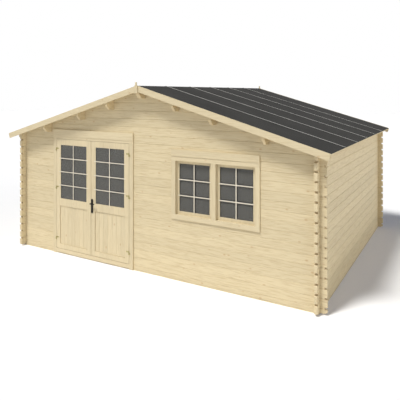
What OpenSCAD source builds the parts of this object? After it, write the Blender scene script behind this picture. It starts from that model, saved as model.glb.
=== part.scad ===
// Wooden garden shed: interlocking log walls, a low gable roof, a glazed double door and a double window.
// Millimetres. X runs along the front wall, Y from front to back, Z up from the ground.
// The origin is on the ground at the middle of the plan.

/* [Log walls] */
// Front and back walls, between the outer faces of the side walls
wall_length = 5700; // [5600:10:6500]
// Side walls, between the outer faces of the front and back walls
wall_depth = 4600; // [3000:10:6000]
// Thickness of a log
log_thick = 44; // [36:1:52]
// Height of one course of logs
course = 133; // [130:0.5:136]
// Height of the ground beams under the walls
base_height = 18; // [12:1:30]
// Courses of a side wall from the one at the door head upwards
courses_over_door = 1; // [1:1:3]
// Rise of the bevelled top log above the last whole course
top_log_rise = 22; // [10:1:40]
// Length of log that stands past the crossing wall
log_end = 100; // [70:1:130]
// Radius of the notch between the ends of two logs
notch_r = 16; // [8:1:22]
// Depth of the notch between the ends of two logs
notch_depth = 32; // [26:1:50]
// Length by which the top logs of the front reach further, to carry the eaves
corbel = 52; // [40:1:85]
// Bevel along the long edges of a log
log_bevel = 5; // [2:0.5:8]

/* [Roof] */
// Slope of the roof in degrees
pitch = 16.2; // [14:0.1:19]
// Roof past the side walls
eave_overhang = 195; // [150:1:260]
// Roof boards past the front and back walls
verge_overhang = 180; // [150:1:260]
// Thickness of the roof boards
roof_board = 19; // [15:1:24]
// Thickness of the roofing felt
felt_thick = 3; // [2:0.5:5]
// Width of a bargeboard
barge_width = 93; // [80:1:110]
// Thickness of a bargeboard
barge_thick = 20; // [16:1:25]
// Width of a purlin
purlin_width = 44; // [38:1:60]
// Height of a purlin
purlin_height = 182; // [150:1:190]
// Diagonal cut under the end of a purlin
purlin_cut = 70; // [30:1:90]
// Width of the post at the peak of each gable
finial_width = 50; // [36:1:60]
// Height of the post at the peak of each gable
finial_height = 175; // [160:1:240]

/* [Door] */
// Middle of the double door along the front wall
door_centre = -1125; // [-1150:1:-1090]
// Width of one door leaf
leaf_width = 828; // [780:1:845]
// Thickness of a door leaf
leaf_thick = 42; // [38:1:46]
// Height of a door leaf
leaf_height = 1975; // [1900:1:2050]
// Width of the stiles and the top rail of a leaf
stile = 84; // [75:1:100]
// Top of the lock rail above the ground
lock_rail_top = 979; // [940:1:1000]
// Height of the lock rail
lock_rail = 116; // [100:1:130]
// Height of the bottom rail
bottom_rail = 84; // [80:1:120]
// Height of the lever above the ground
lever_height = 995; // [970:1:1020]

/* [Window] */
// Middle of the double window along the front wall
window_centre = 1277; // [1240:1:1310]
// Clear width of one light
light_width = 627; // [560:1:650]
// Clear height of a light
light_height = 830; // [700:1:900]
// Underside of the lights above the ground
light_bottom = 1027; // [980:1:1060]
// Width of the post between the lights
mullion = 79; // [70:1:110]

/* [Frames] */
// Width of the casing round the window
window_casing = 72; // [60:1:100]
// Width of the casing beside the door
door_casing = 76; // [50:1:90]
// Thickness of a casing, in front of and behind the logs
casing_thick = 20; // [16:1:24]
// Thickness of the frame boards that line an opening
frame_board = 28; // [24:1:32]
// Thickness of the boards over the door head and the window head
header_thick = 28; // [24:1:36]
// Height of the board over the door head
door_header = 125; // [100:1:135]
// Height of the board over the window head
window_header = 100; // [80:1:120]

/* [Hidden] */

// Clearances
fit = 0.3;
swing_gap = 5;
leaf_gap = 8;
sill_gap = 6.5;
pin_clearance = 0.05;

// Colours
pine = [0.88, 0.80, 0.63];
pale_pine = [0.92, 0.85, 0.70];
dark_felt = [0.26, 0.25, 0.24];
pane_grey = [0.38, 0.38, 0.39];
brass = [0.62, 0.55, 0.33];
black_iron = [0.08, 0.08, 0.08];

// Door places
half_log_top = level(0.5);
leaf_bottom = half_log_top + sill_gap;
leaf_top = leaf_bottom + leaf_height;
door_half = leaf_gap / 2 + leaf_width + swing_gap;
door_head_bottom = leaf_top + swing_gap;
door_head_height = 48;
door_head_top = door_head_bottom + door_head_height;
settling_gap = 20;
leaf_front = -casing_thick;
leaf_back = leaf_front + leaf_thick;
stop_depth = leaf_back + swing_gap;
stop_width = 16;
glass_thick = 4;
pane_inset = 6;
bead_width = 18;
front_bead = pane_inset - 1;
back_bead = 12;
panel_thick = 18;
panel_bottom = leaf_bottom + bottom_rail;
panel_top = lock_rail_top - lock_rail;
pane_top = leaf_top - stile;

// Wall places
half_length = wall_length / 2;
half_depth = wall_depth / 2;
front_face = -half_depth;
quarter = course / 4;
side_courses = floor((door_head_top - base_height) / course) + courses_over_door;
wall_top = level(side_courses) + top_log_rise;
arc_steps = 4;
notch_lip = 4;
corbel_rise = 110;
cut_past = 2;

// Roof places
slope = tan(pitch);
half_span = half_length + eave_overhang;
verge = half_depth + verge_overhang;
board_rise = roof_board / cos(pitch);
felt_rise = felt_thick / cos(pitch);
barge_drop = barge_width / cos(pitch);
barge_lift = 2;
ridge_under = under(0);
gable_courses = ceil((ridge_under - half_log_top) / course);
purlin_shares = [0.228, 0.456, 0.747];
purlin_places = [for (share = purlin_shares) share * half_length];
purlin_reach = verge - fit;
ridge_purlin_width = 70;
finial_thick = 22;
finial_tip = 22;
finial_below_ridge = 98;

// Hinges: the pin of each stands in front of the gap between a leaf and its jamb
hinge_from_foot = 184;
hinge_from_top = 181;
middle_hinge_share = 0.5565;
hinge_heights = [leaf_bottom + hinge_from_foot, leaf_bottom + middle_hinge_share * leaf_height,
                 leaf_top - hinge_from_top];
knuckle_r = 8;
knuckle_height = 28;
hinge_pin_r = 4;
hinge_pin_short = 5;
knuckle_cap = 2;
round_facets = 32;
hinge_standoff = 9;
lug_width = 20;
lug_height = 22;
hinge_offset = leaf_gap / 2 + leaf_width + swing_gap / 2;

// Lever handle
plate_width = 42;
plate_height = 245;
plate_thick = 8;
plate_drop = 170;
plate_inset = 3;
neck_r = 8;
neck_length = 48;
grip_r = 9;
grip_length = 85;
lever_x = door_centre + leaf_gap / 2 + plate_inset + plate_width / 2;

// Window places
window_half = light_width + mullion / 2;
window_outer = window_half + window_casing;
light_top = light_bottom + light_height;
window_top = light_top + window_casing;
window_hole_bottom = light_bottom - frame_board - fit;
window_hole_top = light_top + frame_board + settling_gap;
sash_front = 28;
sash_depth = 30;
sash_stile = 45;

// Floor
bearer = 44;
floor_board = 18;
bearer_count = 9;
floor_length = wall_length - 2 * (log_thick + fit);
floor_depth = wall_depth - 2 * (log_thick + fit);

// Underside of the roof boards at a place along X
function under(x) = wall_top - (abs(x) - half_length) * slope;

// Height of a joint between the courses of a side wall; halves give those of the front and back
function level(k) = base_height + k * course;

// Points on a turn about a centre, from one angle by another
function arc(cx, cz, rx, rz, from, turn) = [for (k = [0:arc_steps]) let (a = from + turn * k / arc_steps)
    [cx + rx * cos(a), cz + rz * sin(a)]];

// Kinds of log end: cut square, notched above and below, or carried out under the eaves
square_end = 0;
notched_end = 1;
corbel_end = 2;

// Left-hand end of a log seen from the side, from its top edge to its bottom edge
function log_end_points(s, z0, z1, kind) = let (c = s + notch_depth - notch_r)
    kind == notched_end
        ? concat(arc(c, z1, notch_r, notch_r, 0, -90),
                 [[s + notch_lip, z1 - notch_r], [s, z1 - notch_r - notch_lip],
                  [s, z0 + notch_r + notch_lip], [s + notch_lip, z0 + notch_r]],
                 arc(c, z0, notch_r, notch_r, 90, -90))
    : kind == corbel_end ? concat([[s, z1]], arc(s, z0, corbel, corbel_rise, 90, -90))
    : [[s, z1], [s, z0]];

// Right-hand end of a log, from its bottom edge to its top edge
function log_end_mirrored(s, z0, z1, kind) =
    let (points = log_end_points(-s, z0, z1, kind), last = len(points) - 1)
    [for (k = [0:last]) [-points[last - k][0], points[last - k][1]]];

// Space under the roof boards, as seen from the front
module roof_space() {
    reach = half_span + log_thick;
    polygon([[-reach, 0], [reach, 0], [reach, under(reach) - fit], [0, ridge_under - fit],
             [-reach, under(reach) - fit]]);
}

// Side view of a log from s0 to s1
module log_side(s0, s1, z0, z1, end0, end1) {
    polygon(concat(log_end_points(s0, z0, z1, end0), log_end_mirrored(s1, z0, z1, end1)));
}

// Section of a log, with bevelled long edges
module log_section(z0, z1) {
    b = log_bevel;
    t = log_thick;
    polygon([[b, z0], [t - b, z0], [t, z0 + b], [t, z1 - b], [t - b, z1], [b, z1], [0, z1 - b], [0, z0 + b]]);
}

// Notches over and under a log where a crossing wall passes, leaving half a course
module corner_notches(places, middle) {
    for (s = places) {
        translate([s - fit, middle + quarter - fit / 2])
            square([log_thick + 2 * fit, course]);
        translate([s - fit, middle - quarter + fit / 2 - course])
            square([log_thick + 2 * fit, course]);
    }
}

// A log along X, its outer face on y = 0 and its body towards +Y
module log_x(s0, s1, z0, z1, middle, end0, end1, crossings) {
    a = z0 + fit / 2;
    b = z1 - fit / 2;
    intersection() {
        translate([0, log_thick, 0]) rotate([90, 0, 0]) linear_extrude(log_thick) intersection() {
            difference() {
                log_side(s0, s1, a, b, end0, end1);
                corner_notches(crossings, middle);
            }
            roof_space();
        }
        translate([s0, 0, 0]) rotate([90, 0, 90]) linear_extrude(s1 - s0) log_section(a, b);
    }
}

// A log along Y, its outer face on x = half_length; the top one is bevelled to the roof
module log_y(z0, z1, middle) {
    reach = half_depth + log_end;
    a = z0 + fit / 2;
    b = z1 - fit / 2;
    intersection() {
        translate([half_length - log_thick, 0, 0]) rotate([90, 0, 90]) linear_extrude(log_thick)
            difference() {
                log_side(-reach, reach, a, b, notched_end, notched_end);
                corner_notches([-half_depth, half_depth - log_thick], middle);
            }
        translate([0, reach, 0]) rotate([90, 0, 0]) linear_extrude(2 * reach) intersection() {
            translate([half_length - log_thick, 0]) log_section(a, b);
            roof_space();
        }
    }
}

// Whole wall of logs along Y at the right-hand side
module side_wall() {
    for (j = [0:side_courses - 1]) {
        last = j == side_courses - 1;
        log_y(level(j), last ? wall_top + log_thick * slope + fit : level(j + 1), level(j + 0.5));
    }
}

// Places where the side walls cross a log along X
side_crossings = [-half_length, half_length - log_thick];

// Logs along X for the courses first to last, between s0 and s1
module log_run(first, last, s0, s1, end0 = square_end, end1 = square_end) {
    crossed = [for (s = side_crossings) if (s > s0 && s < s1) s];
    for (i = [first:1:last])
        log_x(s0, s1, max(base_height, level(i - 0.5)), level(i + 0.5), level(i), end0, end1,
              level(i) < wall_top + quarter ? crossed : []);
}

// Section of a purlin at a place along X, its top on the roof boards
module purlin_section(x, grow = 0) {
    w = purlin_width / 2 + grow;
    low = under(x) - purlin_height - grow;
    polygon([[x - w, low], [x + w, low], [x + w, under(x + w) - fit + grow],
             [x - w, under(x - w) - fit + grow]]);
}

module ridge_section(grow = 0) {
    w = ridge_purlin_width / 2 + grow;
    low = ridge_under - purlin_height - grow;
    polygon([[-w, low], [w, low], [w, under(w) - fit + grow], [0, ridge_under - fit + grow],
             [-w, under(w) - fit + grow]]);
}

// Holes in a gable for all purlins
module purlin_holes() {
    along_y(2 * log_thick + 2 * fit) {
        ridge_section(fit);
        for (x = purlin_places, side = [-1, 1]) purlin_section(side * x, fit);
    }
}

// Extrudes an outline seen from the front along Y, centred on y = 0
module along_y(length) {
    translate([0, length / 2, 0]) rotate([90, 0, 0]) linear_extrude(length) children();
}

// Takes the diagonal off the underside of both ends of a purlin
module purlin_body(low) {
    intersection() {
        along_y(2 * purlin_reach) children();
        translate([-half_span, 0, 0]) rotate([90, 0, 90]) linear_extrude(2 * half_span)
            polygon([[-purlin_reach + purlin_cut, low], [purlin_reach - purlin_cut, low],
                     [purlin_reach, low + purlin_cut], [purlin_reach, ridge_under],
                     [-purlin_reach, ridge_under], [-purlin_reach, low + purlin_cut]]);
    }
}

// Gable wall of logs, with the purlins passing through; its top logs reach further by a length
module gable_logs(first, further) {
    difference() {
        for (i = [first:1:gable_courses])
            log_run(i, i, -gable_reach(i, further), gable_reach(i, further), gable_end(i, further),
                    gable_end(i, further));
        translate([0, log_thick / 2, 0]) purlin_holes();
    }
}

// How far a gable log reaches from the middle, to the corner or to the roof, and its kind of end
function gable_reach(i, further) = min(corner_reach + (i < side_courses - 1 ? 0 : further),
                                       (ridge_under - level(i - 0.5)) / slope + log_thick);
function gable_end(i, further) = i >= side_courses ? square_end
    : i == side_courses - 1 && further > 0 ? corbel_end : notched_end;

// The boxes cut out of the front logs for the door and the window
module door_hole() {
    translate([door_left_edge, -log_thick, 0])
        cube([door_right_edge - door_left_edge, 3 * log_thick, door_hole_top]);
}
module window_hole() {
    translate([window_left_edge, -log_thick, window_hole_bottom])
        cube([window_right_edge - window_left_edge, 3 * log_thick, window_hole_top - window_hole_bottom]);
}

// Course cut by the foot of the window, and the first course cut by the top of the door or the window
door_hole_top = door_head_bottom + frame_board + settling_gap;
sill_course = round((window_hole_bottom - base_height) / course);
top_course = round((min(door_hole_top, window_hole_top) - base_height) / course);
door_left_edge = door_centre - door_half - frame_board - fit;
door_right_edge = door_centre + door_half + frame_board + fit;
window_left_edge = window_centre - window_half - frame_board - fit;
window_right_edge = window_centre + window_half + frame_board + fit;
corner_reach = half_length + log_end;

module at_front() { translate([0, front_face, 0]) children(); }

module base_beams() {
    along = wall_depth - 2 * (log_thick + fit);
    color(pine) {
        for (y = [-half_depth, half_depth - log_thick])
            translate([-half_length, y, 0]) cube([wall_length, log_thick, base_height]);
        for (x = side_crossings) translate([x, -along / 2, 0]) cube([log_thick, along, base_height]);
    }
}
module right_wall() { color(pine) side_wall(); }
module left_wall() { color(pine) mirror([1, 0, 0]) side_wall(); }
module back_wall() { color(pine) translate([0, half_depth - log_thick, 0]) gable_logs(0, 0); }
module front_sill_log() {
    color(pine) at_front() log_run(0, 0, -corner_reach, corner_reach, notched_end, notched_end);
}
module front_wall_left() {
    color(pine) at_front() log_run(1, top_course - 1, -corner_reach, door_left_edge, notched_end);
}
module front_wall_below_window() {
    color(pine) at_front() difference() {
        log_run(1, sill_course, door_right_edge, corner_reach, square_end, notched_end);
        window_hole();
    }
}
module front_wall_middle() {
    color(pine) at_front() log_run(sill_course + 1, top_course - 1, door_right_edge, window_left_edge);
}
module front_wall_right() {
    color(pine) at_front() log_run(sill_course + 1, top_course - 1, window_right_edge, corner_reach,
                                   square_end, notched_end);
}
module front_gable() {
    color(pine) at_front() difference() {
        gable_logs(top_course, corbel);
        door_hole();
        window_hole();
    }
}

module ridge_purlin() { color(pine) purlin_body(ridge_under - purlin_height) ridge_section(); }
module right_purlins() {
    color(pine) for (x = purlin_places) purlin_body(under(x) - purlin_height) purlin_section(x);
}
module left_purlins() { mirror([1, 0, 0]) right_purlins(); }

// A layer of the right-hand roof slope, from one height over the rafters' line to another
module roof_layer(low, high) {
    along_y(2 * verge)
        polygon([[fit / 2, under(0) + low], [half_span, under(half_span) + low],
                 [half_span, under(half_span) + high], [fit / 2, under(0) + high]]);
}
module roof_boards_right() { color(pine) roof_layer(0, board_rise); }
module roof_boards_left() { color(pine) mirror([1, 0, 0]) roof_layer(0, board_rise); }
module felt_right() { color(dark_felt) roof_layer(board_rise + fit, board_rise + felt_rise); }
module felt_left() { mirror([1, 0, 0]) felt_right(); }

// Bargeboard of the right-hand slope at the back, its foot cut square to the slope
module bargeboard() {
    top = board_rise + felt_rise + barge_lift;
    foot = half_span - barge_width * sin(pitch);
    translate([0, verge + barge_thick, 0]) rotate([90, 0, 0]) linear_extrude(barge_thick - fit)
        polygon([[fit / 2, under(0) + top - barge_drop], [foot, under(foot) + top - barge_drop],
                 [half_span, under(half_span) + top], [fit / 2, under(0) + top]]);
}
module bargeboard_back_right() { color(pale_pine) bargeboard(); }
module bargeboard_back_left() { color(pale_pine) mirror([1, 0, 0]) bargeboard(); }
module bargeboard_front_right() { color(pale_pine) mirror([0, 1, 0]) bargeboard(); }
module bargeboard_front_left() { color(pale_pine) mirror([0, 1, 0]) mirror([1, 0, 0]) bargeboard(); }

// Post over the joint of two bargeboards, pointed at the top
module finial() {
    w = finial_width / 2;
    low = ridge_under - finial_below_ridge;
    high = low + finial_height;
    front = verge + barge_thick + finial_thick + fit;
    translate([0, front, 0]) rotate([90, 0, 0]) linear_extrude(finial_thick)
        polygon([[-w, low], [w, low], [w, high - finial_width], [finial_tip / 2, high - finial_width],
                 [finial_tip / 2, high], [-finial_tip / 2, high], [-finial_tip / 2, high - finial_width],
                 [-w, high - finial_width]]);
}
module finial_back() { color(pale_pine) finial(); }
module finial_front() { color(pale_pine) mirror([0, 1, 0]) finial(); }

module floor_bearers() {
    step = (floor_length - bearer) / (bearer_count - 1);
    color(pine) for (k = [0:bearer_count - 1])
        translate([-floor_length / 2 + k * step, -floor_depth / 2, 0]) cube([bearer, floor_depth, bearer]);
}
module floor_boards() {
    color(pine) translate([-floor_length / 2, -floor_depth / 2, bearer])
        cube([floor_length, floor_depth, floor_board]);
}

// Plan of a jamb that wraps the cut ends of the logs; the opening lies towards +X from x = 0
module channel(casing, lining, stop) {
    inner = log_thick + fit;
    outer = inner + casing_thick;
    polygon([[lining, -casing_thick], [lining, stop_depth], [lining + stop, stop_depth],
             [lining + stop, outer], [lining - casing, outer], [lining - casing, inner], [0, inner],
             [0, -fit], [lining - casing, -fit], [lining - casing, -casing_thick]]);
}

module door_jamb() {
    translate([-door_half - frame_board, 0, 0]) linear_extrude(door_head_bottom - fit)
        channel(door_casing, frame_board, stop_width);
}
module door_jambs() {
    color(pale_pine) at_front() translate([door_centre, 0, 0]) difference() {
        for (side = [0, 1]) mirror([side, 0, 0]) door_jamb();
        translate([-door_half - frame_board - fit, -fit, 0])
            cube([2 * (door_half + frame_board + fit), log_thick + 2 * casing_thick, half_log_top + fit]);
        translate([-door_half - door_casing - fit, log_thick, 0])
            cube([2 * (door_half + door_casing + fit), 2 * casing_thick, half_log_top + fit]);
    }
}
// Board in front of the half log, level with the leaves that close over it
module door_threshold() {
    wide = door_half - fit;
    color(pale_pine) at_front() translate([door_centre - wide, -casing_thick, base_height])
        cube([2 * wide, casing_thick - fit, half_log_top - base_height]);
}
module door_head() {
    inner = log_thick + fit;
    outer = inner + casing_thick;
    low = door_head_bottom;
    wide = door_half + door_casing;
    lined = door_half + frame_board;
    color(pale_pine) at_front() translate([door_centre, 0, 0]) {
        rotate([90, 0, 90]) translate([0, 0, -wide]) linear_extrude(2 * wide)
            polygon([[-casing_thick, low], [-fit, low], [-fit, door_head_top],
                     [-casing_thick, door_head_top]]);
        rotate([90, 0, 90]) translate([0, 0, -lined]) linear_extrude(2 * lined)
            polygon([[0, low], [outer, low], [outer, low + frame_board], [0, low + frame_board]]);
    }
}
module door_header_board() {
    wide = door_half + door_casing;
    color(pale_pine) at_front() translate([door_centre - wide, -header_thick, door_head_top + fit])
        cube([2 * wide, header_thick - fit, door_header]);
}

// Runs of a window frame board: front casing, lining of the hole, back casing; lights lie towards +X
module window_channel(casing, lining) {
    inner = log_thick + fit;
    outer = inner + casing_thick;
    polygon([[0, -casing_thick], [0, outer], [-casing, outer], [-casing, inner], [-lining, inner],
             [-lining, -fit], [-casing, -fit], [-casing, -casing_thick]]);
}
module window_jambs() {
    color(pale_pine) at_front() translate([window_centre, 0, light_bottom + fit])
        for (side = [0, 1]) mirror([side, 0, 0]) translate([-window_half, 0, 0])
            linear_extrude(light_height - 2 * fit) window_channel(window_casing, frame_board);
}
module window_rail() {
    outer = log_thick + casing_thick;
    translate([-window_outer, 0, 0]) rotate([90, 0, 90]) linear_extrude(2 * window_outer)
        polygon([[-casing_thick, 0], [-casing_thick, window_casing], [-fit, window_casing], [-fit, 0]]);
    lined = window_half + frame_board;
    translate([-lined, 0, 0]) rotate([90, 0, 90]) linear_extrude(2 * lined)
        polygon([[0, 0], [0, frame_board], [outer, frame_board], [outer, 0]]);
}
module window_head() {
    color(pale_pine) at_front() translate([window_centre, 0, light_top]) window_rail();
}
module window_sill() {
    color(pale_pine) at_front() translate([window_centre, 0, light_bottom]) mirror([0, 0, 1]) window_rail();
}
module window_mullion() {
    color(pale_pine) at_front() translate([window_centre - mullion / 2, -casing_thick, light_bottom + fit])
        cube([mullion, log_thick + 2 * casing_thick, light_height - 2 * fit]);
}
module window_header_board() {
    color(pale_pine) at_front() translate([window_centre - window_outer, -header_thick, window_top + fit])
        cube([2 * window_outer, header_thick - fit, window_header]);
}

// Places each light of the window, with the origin at its lower left corner
module each_light() {
    at_front() for (x = [-window_half, mullion / 2])
        translate([window_centre + x, 0, light_bottom]) children();
}
module window_sashes() {
    color(pale_pine) each_light() difference() {
        translate([fit, sash_front, fit]) cube([light_width - 2 * fit, sash_depth, light_height - 2 * fit]);
        translate([sash_stile, sash_front - cut_past, sash_stile])
            cube([light_width - 2 * sash_stile, sash_depth + 2 * cut_past, light_height - 2 * sash_stile]);
    }
}
module window_glass() {
    color(pane_grey) each_light() translate([sash_stile + fit, sash_front + sash_depth / 2, sash_stile + fit])
        cube([light_width - 2 * (sash_stile + fit), glass_thick, light_height - 2 * (sash_stile + fit)]);
}

// A box in a door leaf of the right-hand side, from the free edge, with a margin at the stiles
module leaf_box(margin, y0, depth, z0, z1) {
    translate([leaf_gap / 2 + margin, y0, z0]) cube([leaf_width - 2 * margin, depth, z1 - z0]);
}
module leaf_frame() {
    difference() {
        leaf_box(0, leaf_front, leaf_thick, leaf_bottom, leaf_top);
        leaf_box(stile, leaf_front - cut_past, leaf_thick + 2 * cut_past, panel_bottom, panel_top);
        leaf_box(stile, leaf_front - cut_past, leaf_thick + 2 * cut_past, lock_rail_top, pane_top);
    }
}
module leaf_panel() {
    leaf_box(stile + fit, leaf_front + (leaf_thick - panel_thick) / 2, panel_thick, panel_bottom + fit,
             panel_top - fit);
}
module leaf_glass() {
    leaf_box(stile + fit, leaf_front + pane_inset, glass_thick, lock_rail_top + fit, pane_top - fit);
}
module bead_ring(y0, depth) {
    difference() {
        leaf_box(stile + fit, y0, depth, lock_rail_top + fit, pane_top - fit);
        leaf_box(stile + bead_width, y0 - cut_past, depth + 2 * cut_past, lock_rail_top + bead_width,
                 pane_top - bead_width);
    }
}
module leaf_beads() {
    pane_front = leaf_front + pane_inset;
    bead_ring(pane_front - fit - front_bead, front_bead);
    bead_ring(pane_front + glass_thick + fit, back_bead);
}

// Upper knuckle of each hinge, on the leaf
module leaf_hinges() {
    for (z = hinge_heights) translate([hinge_offset, leaf_front - hinge_standoff, z + fit]) {
        difference() {
            union() {
                cylinder(r = knuckle_r, h = knuckle_height, $fn = round_facets);
                translate([-lug_width, 0, (knuckle_height - lug_height) / 2])
                    cube([lug_width, hinge_standoff, lug_height]);
            }
            translate([0, 0, -cut_past])
                cylinder(r = hinge_pin_r + pin_clearance, h = knuckle_height + cut_past - knuckle_cap,
                         $fn = round_facets);
        }
    }
}
// Lower knuckle and pin of each hinge, on the jamb
module jamb_hinges() {
    for (z = hinge_heights) translate([hinge_offset, leaf_front - hinge_standoff, z]) {
        translate([0, 0, -knuckle_height]) cylinder(r = knuckle_r, h = knuckle_height, $fn = round_facets);
        cylinder(r = hinge_pin_r, h = knuckle_height - hinge_pin_short, $fn = round_facets);
        translate([0, 0, -(knuckle_height + lug_height) / 2])
            cube([lug_width, hinge_standoff, lug_height]);
    }
}

// Places a right-hand leaf piece, or its mirror image, in the doorway
module right_leaf() { at_front() translate([door_centre, 0, 0]) children(); }
module left_leaf() { at_front() translate([door_centre, 0, 0]) mirror([1, 0, 0]) children(); }

module left_door_frame() { color(pale_pine) left_leaf() leaf_frame(); }
module left_door_panel() { color(pale_pine) left_leaf() leaf_panel(); }
module left_door_beads() { color(pale_pine) left_leaf() leaf_beads(); }
module left_door_glass() { color(pane_grey) left_leaf() leaf_glass(); }
module left_door_hinges() { color(brass) left_leaf() leaf_hinges(); }
module right_door_frame() {
    color(pale_pine) difference() {
        right_leaf() leaf_frame();
        spindle_hole(neck_r + fit);
    }
}
module right_door_panel() { color(pale_pine) right_leaf() leaf_panel(); }
module right_door_beads() { color(pale_pine) right_leaf() leaf_beads(); }
module right_door_glass() { color(pane_grey) right_leaf() leaf_glass(); }
module right_door_hinges() { color(brass) right_leaf() leaf_hinges(); }
module door_hinge_pins() {
    color(brass) {
        left_leaf() jamb_hinges();
        right_leaf() jamb_hinges();
    }
}

// A round hole through the right-hand leaf for the lever's spindle
module spindle_hole(r) {
    translate([lever_x, front_face + leaf_back + log_thick, lever_height]) rotate([90, 0, 0])
        cylinder(r = r, h = leaf_thick + 2 * log_thick, $fn = round_facets);
}
module lock_plates() {
    color(black_iron) difference() {
        at_front() for (y = [leaf_front - plate_thick, leaf_back])
            translate([lever_x - plate_width / 2, y, lever_height - plate_drop])
                cube([plate_width, plate_thick, plate_height]);
        spindle_hole(neck_r + fit);
    }
}
module door_lever() {
    out = leaf_front - plate_thick - neck_length;
    back = leaf_back + plate_thick + neck_length;
    color(black_iron) at_front() translate([lever_x, 0, lever_height]) {
        translate([0, back, 0]) rotate([90, 0, 0]) cylinder(r = neck_r, h = back - out, $fn = round_facets);
        for (y = [out, back]) translate([0, y, 0]) {
            rotate([0, 90, 0]) cylinder(r = grip_r, h = grip_length, $fn = round_facets);
            sphere(r = grip_r, $fn = round_facets);
            translate([grip_length, 0, 0]) sphere(r = grip_r, $fn = round_facets);
        }
    }
}

base_beams();
left_wall();
right_wall();
back_wall();
front_sill_log();
front_wall_left();
front_wall_below_window();
front_wall_middle();
front_wall_right();
front_gable();
ridge_purlin();
left_purlins();
right_purlins();
roof_boards_left();
roof_boards_right();
felt_left();
felt_right();
bargeboard_front_left();
bargeboard_front_right();
bargeboard_back_left();
bargeboard_back_right();
finial_front();
finial_back();
floor_bearers();
floor_boards();
door_jambs();
door_threshold();
door_head();
door_header_board();
door_hinge_pins();
window_head();
window_sill();
window_jambs();
window_mullion();
window_header_board();
window_sashes();
window_glass();
left_door_frame();
left_door_panel();
left_door_beads();
left_door_glass();
left_door_hinges();
right_door_frame();
right_door_panel();
right_door_beads();
right_door_glass();
right_door_hinges();
lock_plates();
door_lever();
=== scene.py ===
"""Looks of a wooden garden shed: pine logs and boards, lapped roofing felt, glazed door and window."""
import math

import bmesh
import bpy
from mathutils import Matrix, Vector


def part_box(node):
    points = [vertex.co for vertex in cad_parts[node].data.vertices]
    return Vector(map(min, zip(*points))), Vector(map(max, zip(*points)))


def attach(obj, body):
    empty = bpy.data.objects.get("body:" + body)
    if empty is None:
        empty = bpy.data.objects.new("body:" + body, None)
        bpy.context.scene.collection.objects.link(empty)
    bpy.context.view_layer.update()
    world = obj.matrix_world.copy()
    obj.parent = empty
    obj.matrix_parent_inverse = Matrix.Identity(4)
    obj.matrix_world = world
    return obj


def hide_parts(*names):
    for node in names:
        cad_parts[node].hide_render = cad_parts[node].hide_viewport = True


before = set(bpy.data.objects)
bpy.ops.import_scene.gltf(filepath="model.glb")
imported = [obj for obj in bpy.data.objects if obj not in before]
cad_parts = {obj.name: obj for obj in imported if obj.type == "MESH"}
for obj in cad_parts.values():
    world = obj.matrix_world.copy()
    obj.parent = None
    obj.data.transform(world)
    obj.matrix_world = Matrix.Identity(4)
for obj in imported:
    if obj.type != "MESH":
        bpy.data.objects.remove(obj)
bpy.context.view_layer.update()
SHED = "shed"
X, Y, Z = 0, 1, 2

# Sizes that the finishes and the shapes share, in metres, and the slope of the roof
COURSE = 0.133
BASE = 0.018
ROOF_BOARD_WIDTH = 0.096
FLOOR_BOARD_WIDTH = 0.125
PITCH = math.radians(16.2)


# Node helpers

MIX_FACTOR, MIX_A, MIX_B = 0, 6, 7
MIX_RESULT = 2


def new_material(name, roughness, gloss):
    """A material with one principled shader; returns the material, its tree and the shader."""
    mat = bpy.data.materials.new(name)
    mat.use_nodes = True
    shader = mat.node_tree.nodes["Principled BSDF"]
    shader.inputs["Roughness"].default_value = roughness
    shader.inputs["Specular IOR Level"].default_value = gloss
    return mat, mat.node_tree, shader


def add(tree, kind, **values):
    """Adds a node and sets its properties."""
    made = tree.nodes.new(kind)
    for key, value in values.items():
        setattr(made, key, value)
    return made


def feed(tree, socket, value):
    """Sets an input to a number or a colour, or links it to an output."""
    if isinstance(value, (int, float)):
        socket.default_value = value
    elif isinstance(value, tuple):
        socket.default_value = (*value, 1.0)
    else:
        tree.links.new(value, socket)


def math_node(tree, operation, a, b=None):
    """A math node fed by outputs or numbers; returns its output."""
    made = add(tree, "ShaderNodeMath", operation=operation)
    feed(tree, made.inputs[0], a)
    if b is not None:
        feed(tree, made.inputs[1], b)
    return made.outputs[0]


def weigh(tree, share, a, b):
    """A sum of two outputs in which the first has the given share; returns its output."""
    return math_node(tree, "ADD", math_node(tree, "MULTIPLY", a, share),
                     math_node(tree, "MULTIPLY", b, 1.0 - share))


def ramp(tree, factor, stops):
    """A colour ramp between two (place, colour) stops; returns its colour output."""
    made = add(tree, "ShaderNodeValToRGB")
    for element, (place, colour) in zip(made.color_ramp.elements, stops):
        element.position = place
        element.color = (*colour, 1.0)
    tree.links.new(factor, made.inputs["Fac"])
    return made.outputs["Color"]


def mix_colour(tree, factor, a, b):
    """A colour that goes from one colour or output to another with a factor; returns its output."""
    made = add(tree, "ShaderNodeMix", data_type="RGBA")
    for index, value in ((MIX_FACTOR, factor), (MIX_A, a), (MIX_B, b)):
        feed(tree, made.inputs[index], value)
    return made.outputs[MIX_RESULT]


def mix_number(tree, factor, a, b):
    """A number that goes from one number or output to another with a factor; returns its output."""
    made = add(tree, "ShaderNodeMix", data_type="FLOAT")
    for name, value in (("Factor", factor), ("A", a), ("B", b)):
        feed(tree, made.inputs[name], value)
    return made.outputs["Result"]


def noise(tree, place, scale, detail, distortion=0.0):
    """Smooth noise over a place; returns its value output."""
    made = add(tree, "ShaderNodeTexNoise")
    made.inputs["Scale"].default_value = scale
    made.inputs["Detail"].default_value = detail
    made.inputs["Distortion"].default_value = distortion
    tree.links.new(place, made.inputs["Vector"])
    return made.outputs["Fac"]


def object_place(tree):
    """The place of a point in the frame of its piece, which moves with the piece."""
    return add(tree, "ShaderNodeTexCoord").outputs["Object"]


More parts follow.
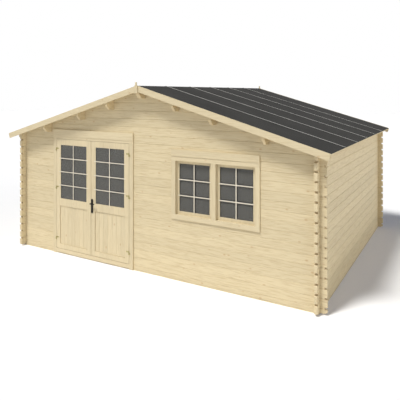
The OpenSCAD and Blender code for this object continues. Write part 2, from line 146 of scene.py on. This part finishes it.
def split_axes(tree, place):
    """The three numbers of a place or direction, as the outputs of one node."""
    made = add(tree, "ShaderNodeSeparateXYZ")
    tree.links.new(place, made.inputs[0])
    return made.outputs


def drawn_out(tree, place, axis, share):
    """Shrinks a place along one axis, which draws a pattern out along it; returns the new place."""
    made = add(tree, "ShaderNodeMapping")
    scale = [1.0, 1.0, 1.0]
    scale[axis] = share
    made.inputs["Scale"].default_value = scale
    tree.links.new(place, made.inputs["Vector"])
    return made.outputs[0]


def bump(tree, shader, height, strength, distance):
    """Feeds a height to the shader's normal."""
    made = add(tree, "ShaderNodeBump")
    made.inputs["Strength"].default_value = strength
    made.inputs["Distance"].default_value = distance
    tree.links.new(height, made.inputs["Height"])
    tree.links.new(made.outputs["Normal"], shader.inputs["Normal"])


# Wood

BLACK = (0.0, 0.0, 0.0)
WHITE = (1.0, 1.0, 1.0)
PALE = (0.672, 0.567, 0.366)
DEEP = (0.549, 0.437, 0.260)
TRIM_PALE = (0.659, 0.558, 0.367)
TRIM_DEEP = (0.579, 0.474, 0.294)
PURLIN_PALE = (0.665, 0.545, 0.335)
PURLIN_DEEP = (0.540, 0.415, 0.235)
KNOT_DARK = (0.46, 0.27, 0.13)
# Painted shade in the notches between log ends
NOTCH_PAINTED_SHADE = (0.48, 0.37, 0.22)
WOOD_ROUGHNESS = 0.62
WOOD_GLOSS = 0.25

# Each log or board: how far its grain is shifted, and its least tone and the spread above it
GRAIN_SHIFT = 7.0
TONE_LOW = 0.95
TONE_SPREAD = 0.09

# Grain: fine fibres and broader ring lines, drawn out along the wood
GRAIN_STRETCH = 0.055
FIBRE_SCALE = 95.0
FIBRE_DETAIL = 5.0
RING_SCALE = 34.0
RING_DETAIL = 2.0
RING_WARP = 0.15
RING_LINES = 9.0
RING_SHARE = 0.25
DEEP_AT = 0.22
PALE_AT = 0.55
GRAIN_RELIEF = 0.25
GRAIN_HEIGHT = 0.0015

# Knots: spots in cells, a share of which has none
KNOT_STRETCH = 0.55
KNOT_SCALE = 8.0
KNOT_CORE = 0.05
KNOT_EDGE = 0.13
KNOTLESS_SHARE = 0.15
KNOT_STRENGTH = 0.5

# Notches between log ends, which get painted shade: half their height, their distance from the middle of the
# wall, half their length
NOTCH_HALF = 0.0165
SIDE_NOTCHES = 2.373
FRONT_NOTCHES = 2.923
NOTCH_REACH = 0.009

# Where the joints of a stack lie, in courses, and the widths of the boards that differ in tone
SIDE_JOINTS = -BASE / COURSE
FRONT_JOINTS = 0.5 - BASE / COURSE
PURLIN_TONE_WIDTH = 0.2
LEVEL_TRIM_WIDTH = 0.115
UPRIGHT_TRIM_WIDTH = 0.103
PANEL_BOARD_WIDTH = 0.0948
BARGE_TONE_WIDTH = 1.0
TRIM_KNOTS = 0.6


def own_grain(tree, place, counted, seed):
    """Shifts the grain of each log or board at random; returns the new place and a random number."""
    label = add(tree, "ShaderNodeCombineXYZ")
    label.inputs["Y"].default_value = seed
    tree.links.new(math_node(tree, "FLOOR", counted), label.inputs["X"])
    chance = add(tree, "ShaderNodeTexWhiteNoise", noise_dimensions="3D")
    tree.links.new(label.outputs[0], chance.inputs["Vector"])
    shifted = add(tree, "ShaderNodeVectorMath", operation="MULTIPLY_ADD")
    tree.links.new(chance.outputs["Color"], shifted.inputs[0])
    shifted.inputs[1].default_value = (GRAIN_SHIFT, GRAIN_SHIFT, GRAIN_SHIFT)
    tree.links.new(place, shifted.inputs[2])
    return shifted.outputs[0], chance.outputs["Value"]


def grain_pattern(tree, place, grain):
    """Fibres and ring lines along one axis; returns a number that is low where the grain is deep."""
    along = drawn_out(tree, place, grain, GRAIN_STRETCH)
    fibres = noise(tree, along, FIBRE_SCALE, FIBRE_DETAIL)
    rings = noise(tree, along, RING_SCALE, RING_DETAIL, RING_WARP)
    lines = math_node(tree, "PINGPONG", math_node(tree, "MULTIPLY", rings, RING_LINES), 1.0)
    return weigh(tree, RING_SHARE, lines, fibres)


def knot_mask(tree, place, grain, strength):
    """As high as the strength in the middle of scattered knots, and zero outside them."""
    cells = add(tree, "ShaderNodeTexVoronoi", feature="F1")
    cells.inputs["Scale"].default_value = KNOT_SCALE
    tree.links.new(drawn_out(tree, place, grain, KNOT_STRETCH), cells.inputs["Vector"])
    spots = ramp(tree, cells.outputs["Distance"], [(KNOT_CORE, WHITE), (KNOT_EDGE, BLACK)])
    chance = add(tree, "ShaderNodeSeparateColor")
    tree.links.new(cells.outputs["Color"], chance.inputs[0])
    shown = math_node(tree, "GREATER_THAN", chance.outputs[0], KNOTLESS_SHARE)
    return math_node(tree, "MULTIPLY", math_node(tree, "MULTIPLY", spots, shown), strength)


def notch_shade_mask(tree, counted, along, middle):
    """One where the notches get painted shade: near a joint of the stack, and near a distance along the logs
    from their middle.
    """
    nearest = math_node(tree, "ROUND", counted)
    from_joint = math_node(tree, "ABSOLUTE", math_node(tree, "SUBTRACT", counted, nearest))
    at_joint = math_node(tree, "LESS_THAN", from_joint, NOTCH_HALF / COURSE)
    off_middle = math_node(tree, "SUBTRACT", math_node(tree, "ABSOLUTE", along), middle)
    at_notch = math_node(tree, "LESS_THAN", math_node(tree, "ABSOLUTE", off_middle), NOTCH_REACH)
    return math_node(tree, "MULTIPLY", at_joint, at_notch)


def wood(name, grain, pale, deep, stack, width=COURSE, offset=0.0, seed=0.0, knots=1.0, notches=None):
    """Planed softwood with its grain along one axis. Each log or board along the stack axis has its own tone.

    The count of the logs or boards goes up by one in each width, from the offset at zero height or distance.
    Logs have painted shade in the notches near their ends, whose distance from the middle is given.
    """
    mat, tree, shader = new_material(name, WOOD_ROUGHNESS, WOOD_GLOSS)
    place = object_place(tree)
    axes = split_axes(tree, place)
    counted = math_node(tree, "ADD", math_node(tree, "DIVIDE", axes[stack], width), offset)
    shifted, chance = own_grain(tree, place, counted, seed)
    pattern = grain_pattern(tree, shifted, grain)
    tone = math_node(tree, "ADD", math_node(tree, "MULTIPLY", chance, TONE_SPREAD), TONE_LOW)
    toned = add(tree, "ShaderNodeVectorMath", operation="SCALE")
    tree.links.new(ramp(tree, pattern, [(DEEP_AT, deep), (PALE_AT, pale)]), toned.inputs[0])
    tree.links.new(tone, toned.inputs["Scale"])
    knot = knot_mask(tree, shifted, grain, KNOT_STRENGTH * knots)
    colour = mix_colour(tree, knot, toned.outputs[0], KNOT_DARK)
    if notches is not None:
        # Painted shade in the notches near the log ends
        colour = mix_colour(tree, notch_shade_mask(tree, counted, axes[grain], notches), colour, NOTCH_PAINTED_SHADE)
    tree.links.new(colour, shader.inputs["Base Color"])
    bump(tree, shader, pattern, GRAIN_RELIEF, GRAIN_HEIGHT)
    return mat


# Felt, glass and metal

FELT_DARK = (0.0162, 0.0158, 0.0149)
FELT_LIGHT = (0.0402, 0.0390, 0.0360)
FELT_DARK_AT = 0.32
FELT_LIGHT_AT = 0.66
FELT_ROUGHNESS = 0.93
FELT_GLOSS = 0.15
GRIT_SCALE = 420.0
GRIT_DETAIL = 3.0
GRIT_SHARE = 0.7
GRIT_RELIEF = 0.5
GRIT_HEIGHT = 0.002
PATCH_SCALE = 1.7
PATCH_DETAIL = 4.0

SPECK_DETAIL = 4.0
SPECK_DARK_AT = 0.35
SPECK_LIGHT_AT = 0.65
SPECK_RELIEF = 0.1
SPECK_HEIGHT = 0.0005

GLASS_DARK = (0.132, 0.130, 0.118)
GLASS_LIGHT = (0.142, 0.139, 0.127)
GLASS_DARK_AT = 0.3
GLASS_LIGHT_AT = 0.7
GLASS_ROUGHNESS = 0.08
GLASS_GLOSS = 0.3
GLASS_ALPHA = 0.62
RIPPLE_SCALE = 2.2
RIPPLE_DETAIL = 2.0
RIPPLE_RELIEF = 0.02
RIPPLE_HEIGHT = 0.001


def felt(name):
    """Mineral roofing felt: dark charcoal with fine pale grit."""
    mat, tree, shader = new_material(name, FELT_ROUGHNESS, FELT_GLOSS)
    place = object_place(tree)
    grit = noise(tree, place, GRIT_SCALE, GRIT_DETAIL)
    patches = noise(tree, place, PATCH_SCALE, PATCH_DETAIL)
    blend = weigh(tree, GRIT_SHARE, grit, patches)
    colour = ramp(tree, blend, [(FELT_DARK_AT, FELT_DARK), (FELT_LIGHT_AT, FELT_LIGHT)])
    tree.links.new(colour, shader.inputs["Base Color"])
    bump(tree, shader, grit, GRIT_RELIEF, GRIT_HEIGHT)
    return mat


def speckled(name, dark, light, roughness, metallic=0.0, scale=60.0, gloss=0.5):
    """A surface whose tone drifts a little, for metal, glazing bars, the dark strips of painted shade at the
    bars, and felt edges.
    """
    mat, tree, shader = new_material(name, roughness, gloss)
    drift = noise(tree, object_place(tree), scale, SPECK_DETAIL)
    colour = ramp(tree, drift, [(SPECK_DARK_AT, dark), (SPECK_LIGHT_AT, light)])
    tree.links.new(colour, shader.inputs["Base Color"])
    shader.inputs["Metallic"].default_value = metallic
    bump(tree, shader, drift, SPECK_RELIEF, SPECK_HEIGHT)
    return mat


def glass(name):
    """Window glass with a grey cast, through which the dim room shows faintly."""
    mat, tree, shader = new_material(name, GLASS_ROUGHNESS, GLASS_GLOSS)
    ripple = noise(tree, object_place(tree), RIPPLE_SCALE, RIPPLE_DETAIL)
    colour = ramp(tree, ripple, [(GLASS_DARK_AT, GLASS_DARK), (GLASS_LIGHT_AT, GLASS_LIGHT)])
    tree.links.new(colour, shader.inputs["Base Color"])
    shader.inputs["Alpha"].default_value = GLASS_ALPHA
    bump(tree, shader, ripple, RIPPLE_RELIEF, RIPPLE_HEIGHT)
    return mat


# Finishes

LOG_FRONT = wood("log_front", X, PALE, DEEP, Z, offset=FRONT_JOINTS, seed=1.0, notches=FRONT_NOTCHES)
LOG_BACK = wood("log_back", X, PALE, DEEP, Z, offset=FRONT_JOINTS, seed=2.0, notches=FRONT_NOTCHES)
LOG_LEFT = wood("log_left", Y, PALE, DEEP, Z, offset=SIDE_JOINTS, seed=3.0, notches=SIDE_NOTCHES)
LOG_RIGHT = wood("log_right", Y, PALE, DEEP, Z, offset=SIDE_JOINTS, seed=4.0, notches=SIDE_NOTCHES)
PURLIN = wood("purlin", Y, PURLIN_PALE, PURLIN_DEEP, X, width=PURLIN_TONE_WIDTH, seed=5.0)
TRIM_X = wood("trim_across", X, TRIM_PALE, TRIM_DEEP, Z, width=LEVEL_TRIM_WIDTH, seed=6.0, knots=TRIM_KNOTS)
TRIM_Z = wood("trim_upright", Z, TRIM_PALE, TRIM_DEEP, X, width=UPRIGHT_TRIM_WIDTH, seed=7.0,
              knots=TRIM_KNOTS)
PANEL = wood("panel_boards", Z, TRIM_PALE, TRIM_DEEP, X, width=PANEL_BOARD_WIDTH, seed=8.0)
BARGE = wood("bargeboard", X, TRIM_PALE, TRIM_DEEP, Y, width=BARGE_TONE_WIDTH, seed=9.0)
ROOF_BOARD = wood("roof_board", X, PALE, DEEP, Y, width=ROOF_BOARD_WIDTH, seed=10.0)
FLOOR_BOARD = wood("floor_board", X, PALE, DEEP, Y, width=FLOOR_BOARD_WIDTH, seed=11.0)
FELT = felt("felt")
FELT_EDGE = speckled("felt_edge", dark=(0.44, 0.43, 0.40), light=(0.58, 0.57, 0.53), roughness=0.9,
                     scale=140.0)
BAR = speckled("glazing_bar", dark=(0.62, 0.56, 0.45), light=(0.72, 0.66, 0.54), roughness=0.5, scale=40.0)
GLASS = glass("glass")
BRASS = speckled("brass", dark=(0.34, 0.29, 0.12), light=(0.48, 0.42, 0.20), roughness=0.45, metallic=0.25)
# Painted shade: dark strips beside the glazing bars and up the sides of the panes
SHADE_STRIP = speckled("bar_shade_strip", dark=(0.030, 0.028, 0.026), light=(0.045, 0.042, 0.038), roughness=0.7)
IRON = speckled("black_iron", dark=(0.009, 0.007, 0.006), light=(0.016, 0.013, 0.011), roughness=0.55,
                gloss=0.2)

FINISHES = {
    LOG_FRONT: ["base_beams", "front_sill_log", "front_wall_left", "front_wall_below_window",
                "front_wall_middle", "front_wall_right", "front_gable"],
    LOG_BACK: ["back_wall"],
    LOG_LEFT: ["left_wall"],
    LOG_RIGHT: ["right_wall"],
    PURLIN: ["ridge_purlin", "left_purlins", "right_purlins", "floor_bearers"],
    TRIM_X: ["door_threshold", "door_head", "door_header_board", "window_head", "window_sill",
             "window_header_board"],
    TRIM_Z: ["door_jambs", "window_jambs", "window_mullion", "window_sashes", "left_door_frame",
             "right_door_frame", "left_door_beads", "right_door_beads", "finial_front", "finial_back"],
    BARGE: ["bargeboard_front_left", "bargeboard_front_right", "bargeboard_back_left",
            "bargeboard_back_right"],
    GLASS: ["window_glass", "left_door_glass", "right_door_glass"],
    BRASS: ["door_hinge_pins", "left_door_hinges", "right_door_hinges"],
    IRON: ["door_lever"],
}
for finish, node_names in FINISHES.items():
    for node_name in node_names:
        node_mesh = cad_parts[node_name].data
        node_mesh.materials.clear()
        node_mesh.materials.append(finish)


# Mesh helpers


def add_box(bm, low, high, turn=Matrix.Identity(4)):
    """Adds a box between two corners, then turns it."""
    size = Vector(high) - Vector(low)
    centre = (Vector(high) + Vector(low)) / 2
    place = turn @ Matrix.Translation(centre) @ Matrix.Diagonal((*size, 1.0))
    bmesh.ops.create_cube(bm, size=1.0, matrix=place)


def finish_piece(name, bm, material, body, bevel=0.0):
    """Turns a bmesh into a piece that rides on a body, with its edges bevelled if a bevel is given."""
    if bevel:
        bmesh.ops.bevel(bm, geom=bm.edges[:], offset=bevel, segments=1, affect="EDGES")
    mesh = bpy.data.meshes.new(name)
    bm.to_mesh(mesh)
    bm.free()
    mesh.materials.append(material)
    piece = bpy.data.objects.new(name, mesh)
    bpy.context.scene.collection.objects.link(piece)
    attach(piece, body)
    return piece


# Roof

ROOF_BOARD_BEVEL = 0.0025
BOARD_GAP = 0.0008
FELT_LAPS = 5
FIRST_STRIP = 0.835
STRIP_PITCH = 0.805
FELT_LAP = 0.06
FELT_THICK = 0.003
LAP_EDGE = 0.020
LAP_EDGE_TOP = FELT_THICK * 1.4
LAP_EDGE_PAST = 0.001


def slope_matrix(node):
    """Turns a flat layout into the node's slope: x runs down from the ridge, z is zero on its upper face."""
    low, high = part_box(node)
    side = 1 if high.x > abs(low.x) else -1
    ridge_x = low.x if side > 0 else high.x
    turn = Matrix.Rotation(PITCH if side > 0 else -PITCH, 4, "Y")
    flip = Matrix.Diagonal((side, 1, 1, 1))
    return Matrix.Translation((ridge_x, 0, high.z)) @ turn @ flip


def roof_boarding(node):
    """Boards laid from ridge to eave, side by side along the roof."""
    low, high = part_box(node)
    place = slope_matrix(node)
    run = (high.x - low.x) / math.cos(PITCH)
    thick = (high.z - low.z - (high.x - low.x) * math.tan(PITCH)) * math.cos(PITCH)
    start = thick * math.tan(PITCH)
    count = round((high.y - low.y) / ROOF_BOARD_WIDTH)
    width = (high.y - low.y) / count
    bm = bmesh.new()
    for k in range(count):
        y = low.y + k * width
        add_box(bm, (start, y + BOARD_GAP, -thick), (run, y + width - BOARD_GAP, 0.0), place)
    piece = finish_piece(node + "_laid", bm, ROOF_BOARD, SHED, bevel=ROOF_BOARD_BEVEL)
    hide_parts(node)


def roof_felt(node):
    """Strips of felt from ridge to eave, each lapped over the one behind it, with a pale edge at the lap."""
    low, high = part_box(node)
    place = slope_matrix(node)
    run = (high.x - low.x) / math.cos(PITCH)
    joints = [low.y] + [low.y + FIRST_STRIP + k * STRIP_PITCH for k in range(FELT_LAPS)] + [high.y]
    bm = bmesh.new()
    edges = bmesh.new()
    for y0, y1 in zip(joints, joints[1:]):
        add_box(bm, (0.0, y0, -FELT_THICK), (run, y1, 0.0), place)
    for y in joints[1:-1]:
        add_box(bm, (0.0, y - FELT_LAP, 0.0), (run, y, FELT_THICK), place)
        add_box(edges, (0.0, y - LAP_EDGE, FELT_THICK), (run, y + LAP_EDGE_PAST, LAP_EDGE_TOP), place)
    piece = finish_piece(node + "_strips", bm, FELT, SHED)
    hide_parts(node)
    finish_piece(node + "_lap_edges", edges, FELT_EDGE, SHED)


for slope_side in ("left", "right"):
    roof_boarding("roof_boards_" + slope_side)
    roof_felt("felt_" + slope_side)


# Floor of the room

FLOOR_BOARD_BEVEL = 0.002


def floor_boarding():
    """Floor boards side by side, from wall to wall."""
    low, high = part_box("floor_boards")
    count = round((high.y - low.y) / FLOOR_BOARD_WIDTH)
    width = (high.y - low.y) / count
    bm = bmesh.new()
    for k in range(count):
        y = low.y + k * width
        add_box(bm, (low.x, y + BOARD_GAP, low.z), (high.x, y + width - BOARD_GAP, high.z))
    piece = finish_piece("floor_boarding", bm, FLOOR_BOARD, SHED, bevel=FLOOR_BOARD_BEVEL)
    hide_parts("floor_boards")


floor_boarding()


# Glazing bars

BAR_WIDTH = 0.016
UPRIGHT_SHARE = 1.06
BAR_DEPTH = 0.012
BAR_PROUD = 0.005
BAR_SET_BACK = 0.001
BAR_LAP = 0.016
BAR_BEVEL = 0.002
# The dark spacers and strips sized below are painted shade beside the bars and along the sides of a pane
SHADE_SPACER_INSET = 0.001
SHADE_STRIP_MARGIN = 0.009
SHADE_STRIP_DEPTH = 0.001
EDGE_SHADE_STRIP = 0.012


def grid_boxes(bm, low, high, columns, rows, half_x, half_z, y0, y1, past=0.0):
    """Adds the upright and level strips that part a pane, between two depths; level ones may run past it."""
    for c in range(1, columns):
        x = low.x + (high.x - low.x) * c / columns
        add_box(bm, (x - half_x, y0 + BAR_SET_BACK, low.z), (x + half_x, y1, high.z))
    for r in range(1, rows):
        z = low.z + (high.z - low.z) * r / rows
        add_box(bm, (low.x - past, y0, z - half_z), (high.x + past, y1, z + half_z))


def glazing_bars(name, body, low, high, columns, rows, face, overlap):
    """Pale bars over and behind a pane. Those over it lie on dark spacers, bedded on wider dark strips:
    painted shade beside the bars.

    The level bars in front run a little way onto the frame, whose face is given. A dark strip of painted
    shade runs up each side of the pane.
    """
    half = BAR_WIDTH / 2
    half_upright = half * UPRIGHT_SHARE
    bars = bmesh.new()
    grid_boxes(bars, low, high, columns, rows, half_upright, half, face - BAR_PROUD, face, overlap)
    grid_boxes(bars, low, high, columns, rows, half_upright, half, high.y - BAR_SET_BACK, high.y + BAR_DEPTH)
    finish_piece(name, bars, BAR, body, bevel=BAR_BEVEL)
    # Dark spacers and strips of painted shade beside the bars and up the sides of the pane
    shade_strips = bmesh.new()
    grid_boxes(shade_strips, low, high, columns, rows, half_upright - SHADE_SPACER_INSET, half - SHADE_SPACER_INSET, face, low.y)
    wide = half + SHADE_STRIP_MARGIN
    grid_boxes(shade_strips, low, high, columns, rows, wide, wide, low.y - SHADE_STRIP_DEPTH - BAR_SET_BACK, low.y)
    for x in (low.x, high.x - EDGE_SHADE_STRIP):
        add_box(shade_strips, (x, low.y - SHADE_STRIP_DEPTH, low.z), (x + EDGE_SHADE_STRIP, low.y, high.z))
    finish_piece(name + "_seals", shade_strips, SHADE_STRIP, body)


# Door leaves

PANEL_BOARDS = 7
PANEL_BEVEL = 0.0026
DOOR_COLUMNS = 2
DOOR_ROWS = 4
BEAD = 0.018
HINGE_FROM_FOOT = 0.184
HINGE_FROM_TOP = 0.181
MIDDLE_HINGE_SHARE = 0.5565
KNUCKLE = 0.028
STRAP_LENGTH = 0.058
STRAP_HEIGHT = 0.022
STRAP_THICK = 0.0025
SCREW_PLACES = (0.030, 0.048)
SCREW_RADIUS = 0.0035
SCREW_PROUD = 0.001
PLATE_THICK = 0.008
PLATE_HALF = 0.0225
SPINDLE_HOLE = 0.0085
ROSE_RADIUS = 0.019
ROSE_DEPTH = 0.004
KEY_DROP = 0.072
KEY_HALF = 0.0085
KEY_HEIGHT = 0.033
KEY_DEPTH = 0.003
ARC_STEPS = 16


def panel_boarding(body):
    """Upright boards with V joints in the lower part of a leaf."""
    node = body + "_panel"
    low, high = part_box(node)
    width = (high.x - low.x) / PANEL_BOARDS
    bm = bmesh.new()
    for k in range(PANEL_BOARDS):
        x = low.x + k * width
        add_box(bm, (x, low.y, low.z), (x + width, high.y, high.z))
    piece = finish_piece(body + "_panel_boards", bm, PANEL, body, bevel=PANEL_BEVEL)
    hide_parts(node)


def hinge_straps(body, hinge_side):
    """Screwed brass straps on a leaf, one from each hinge; the side is -1 for hinges at the left edge."""
    low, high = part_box(body + "_frame")
    edge = high.x if hinge_side > 0 else low.x
    face = low.y - STRAP_THICK
    half = STRAP_HEIGHT / 2
    tall = high.z - low.z
    x0, x1 = sorted((edge, edge - hinge_side * STRAP_LENGTH))
    bm = bmesh.new()
    for foot in (HINGE_FROM_FOOT, MIDDLE_HINGE_SHARE * tall, tall - HINGE_FROM_TOP):
        z = low.z + foot + KNUCKLE / 2
        add_box(bm, (x0, face, z - half), (x1, low.y, z + half))
        for place in SCREW_PLACES:
            centre = Vector((edge - hinge_side * place, face, z))
            turn = Matrix.Translation(centre) @ Matrix.Rotation(math.pi / 2, 4, "X")
            bmesh.ops.create_cone(bm, cap_ends=True, segments=ARC_STEPS, radius1=SCREW_RADIUS,
                                  radius2=SCREW_RADIUS, depth=2 * SCREW_PROUD, matrix=turn)
    finish_piece(body + "_hinge_straps", bm, BRASS, body)


def round_ended(bm, x, low_z, high_z, half, y0, y1, hole_z=None):
    """Adds an upright round-ended plate between two depths, with a spindle hole if its height is given."""
    turns = [(high_z - half, step * math.pi / ARC_STEPS) for step in range(ARC_STEPS + 1)]
    turns += [(low_z + half, math.pi + step * math.pi / ARC_STEPS) for step in range(ARC_STEPS + 1)]
    if high_z - low_z <= 2 * half:
        turns = turns[:ARC_STEPS] + turns[ARC_STEPS + 1:-1]
    rings = [[(x + half * math.cos(turn), z + half * math.sin(turn)) for z, turn in turns]]
    if hole_z is not None:
        angles = [step * math.pi / ARC_STEPS for step in range(2 * ARC_STEPS)]
        rings.append([(x + SPINDLE_HOLE * math.cos(a), hole_z + SPINDLE_HOLE * math.sin(a)) for a in angles])
    caps = ([], [])
    for ring in rings:
        front = [bm.verts.new((u, y0, v)) for u, v in ring]
        back = [bm.verts.new((u, y1, v)) for u, v in ring]
        for k in range(len(ring)):
            bm.faces.new((front[k - 1], front[k], back[k], back[k - 1]))
        for cap, verts in zip(caps, (front, back)):
            cap.extend(bm.edges.get((verts[k - 1], verts[k])) for k in range(len(verts)))
    for cap in caps:
        bmesh.ops.triangle_fill(bm, edges=cap, use_beauty=True)


def lock_plates():
    """Round-ended plates on both faces of the right leaf, with a rose at the spindle and a key cylinder."""
    low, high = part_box("lock_plates")
    lever_low, lever_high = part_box("door_lever")
    lever_z = (lever_low.z + lever_high.z) / 2
    x = (low.x + high.x) / 2
    key_z = lever_z - KEY_DROP
    key_low, key_high = key_z - KEY_HEIGHT / 2, key_z + KEY_HEIGHT / 2
    rose_low, rose_high = lever_z - ROSE_RADIUS, lever_z + ROSE_RADIUS
    bm = bmesh.new()
    for face, inner, out in ((low.y, low.y + PLATE_THICK, -1), (high.y, high.y - PLATE_THICK, 1)):
        round_ended(bm, x, low.z, high.z, PLATE_HALF, face, inner, lever_z)
        round_ended(bm, x, rose_low, rose_high, ROSE_RADIUS, face + out * ROSE_DEPTH, face, lever_z)
        round_ended(bm, x, key_low, key_high, KEY_HALF, face + out * KEY_DEPTH, face)
    bmesh.ops.recalc_face_normals(bm, faces=bm.faces[:])
    piece = finish_piece("lock_plate_pair", bm, IRON, "right_door")
    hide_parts("lock_plates")


for leaf, leaf_side in (("left_door", -1), ("right_door", 1)):
    panel_boarding(leaf)
    hinge_straps(leaf, leaf_side)
    pane_low, pane_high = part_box(leaf + "_glass")
    leaf_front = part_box(leaf + "_frame")[0].y
    inset = Vector((BEAD, 0.0, BEAD))
    glazing_bars(leaf + "_bars", leaf, pane_low + inset, pane_high - inset, DOOR_COLUMNS, DOOR_ROWS,
                 leaf_front, BEAD + BAR_LAP)

lock_plates()


# Window

WINDOW_COLUMNS = 2
WINDOW_ROWS = 3

window_low, window_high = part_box("window_glass")
mullion_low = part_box("window_mullion")[0]
sash_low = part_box("window_sashes")[0]
sash_stile = window_low.x - sash_low.x
pane_width = mullion_low.x - sash_stile - window_low.x
for k, start in enumerate((window_low.x, window_high.x - pane_width)):
    pane_low = Vector((start, window_low.y, window_low.z))
    pane_high = Vector((start + pane_width, window_high.y, window_high.z))
    glazing_bars(f"window_bars_{k}", SHED, pane_low, pane_high, WINDOW_COLUMNS, WINDOW_ROWS,
                 sash_low.y, BAR_LAP)


# Camera, light and floor

CAMERA_HEIGHT = 2.906
CAMERA_TURN = math.radians(29.9)
CAMERA_PLACE = (4.535, -8.373)
LENS_MM = 41.9
SENSOR_MM = 36.0
SHIFT_Y = -0.268

# Suns: the direction that each shines from, its strength and its angle across in degrees
KEY_SUN = ((-0.21, -0.46, 0.86), 3.10, 14.0)
FILL_SUN = ((0.98, -0.10, 0.12), 1.15, 55.0)

# Strength of the sky at the horizon and overhead
SKY_LOW = 0.48
SKY_HIGH = 0.0

# The floor: its half width, the colour that shows, the colour that lights the shed, and a lift of the shadow
FLOOR_REACH = 60.0
FLOOR_SHOWN = (0.945, 0.931, 0.899)
FLOOR_BOUNCE = (0.95, 0.95, 0.95)
FLOOR_LIFT = (0.0, 0.016, 0.060)


def make_camera():
    """A level camera at the right of the front, with the picture shifted down."""
    data = bpy.data.cameras.new("camera")
    data.lens = LENS_MM
    data.sensor_width = SENSOR_MM
    data.shift_y = SHIFT_Y
    camera = bpy.data.objects.new("camera", data)
    camera.location = (*CAMERA_PLACE, CAMERA_HEIGHT)
    camera.rotation_euler = (math.pi / 2, 0.0, CAMERA_TURN)
    bpy.context.scene.collection.objects.link(camera)
    bpy.context.scene.camera = camera


def make_sun(name, direction, strength, angle):
    """A sun that shines from a direction."""
    data = bpy.data.lights.new(name, "SUN")
    data.energy = strength
    data.angle = math.radians(angle)
    sun = bpy.data.objects.new(name, data)
    sun.rotation_euler = Vector(direction).to_track_quat("Z", "Y").to_euler()
    bpy.context.scene.collection.objects.link(sun)


def seen_rays(tree):
    """One for rays by which the camera sees a surface, also in a reflection or through glass."""
    path = add(tree, "ShaderNodeLightPath")
    indirect = math_node(tree, "MAXIMUM", path.outputs["Is Glossy Ray"], path.outputs["Is Transmission Ray"])
    return math_node(tree, "MAXIMUM", path.outputs["Is Camera Ray"], indirect)


def make_world():
    """A pale sky, brighter towards the horizon, that shows as white."""
    world = bpy.data.worlds.new("world")
    world.use_nodes = True
    tree = world.node_tree
    background = tree.nodes["Background"]
    background.inputs["Color"].default_value = (*WHITE, 1.0)
    direction = split_axes(tree, add(tree, "ShaderNodeTexCoord").outputs["Generated"])
    lit = mix_number(tree, math_node(tree, "MAXIMUM", direction["Z"], 0.0), SKY_LOW, SKY_HIGH)
    tree.links.new(mix_number(tree, seen_rays(tree), lit, 1.0), background.inputs["Strength"])
    bpy.context.scene.world = world


def make_floor():
    """A wide pale floor that shows white and keeps the shadow."""
    mesh = bpy.data.meshes.new("floor")
    corners = [(-FLOOR_REACH, -FLOOR_REACH, 0), (FLOOR_REACH, -FLOOR_REACH, 0),
               (FLOOR_REACH, FLOOR_REACH, 0), (-FLOOR_REACH, FLOOR_REACH, 0)]
    mesh.from_pydata(corners, [], [(0, 1, 2, 3)])
    floor = bpy.data.objects.new("floor", mesh)
    bpy.context.scene.collection.objects.link(floor)
    mat, tree, shader = new_material("floor", roughness=1.0, gloss=0.0)
    seen = seen_rays(tree)
    tree.links.new(mix_colour(tree, seen, FLOOR_BOUNCE, FLOOR_SHOWN), shader.inputs["Base Color"])
    tree.links.new(mix_colour(tree, seen, BLACK, FLOOR_LIFT), shader.inputs["Emission Color"])
    shader.inputs["Emission Strength"].default_value = 1.0
    mesh.materials.append(mat)


make_camera()
make_world()
make_floor()
make_sun("key", *KEY_SUN)
make_sun("fill", *FILL_SUN)
bpy.context.scene.view_settings.view_transform = "Standard"
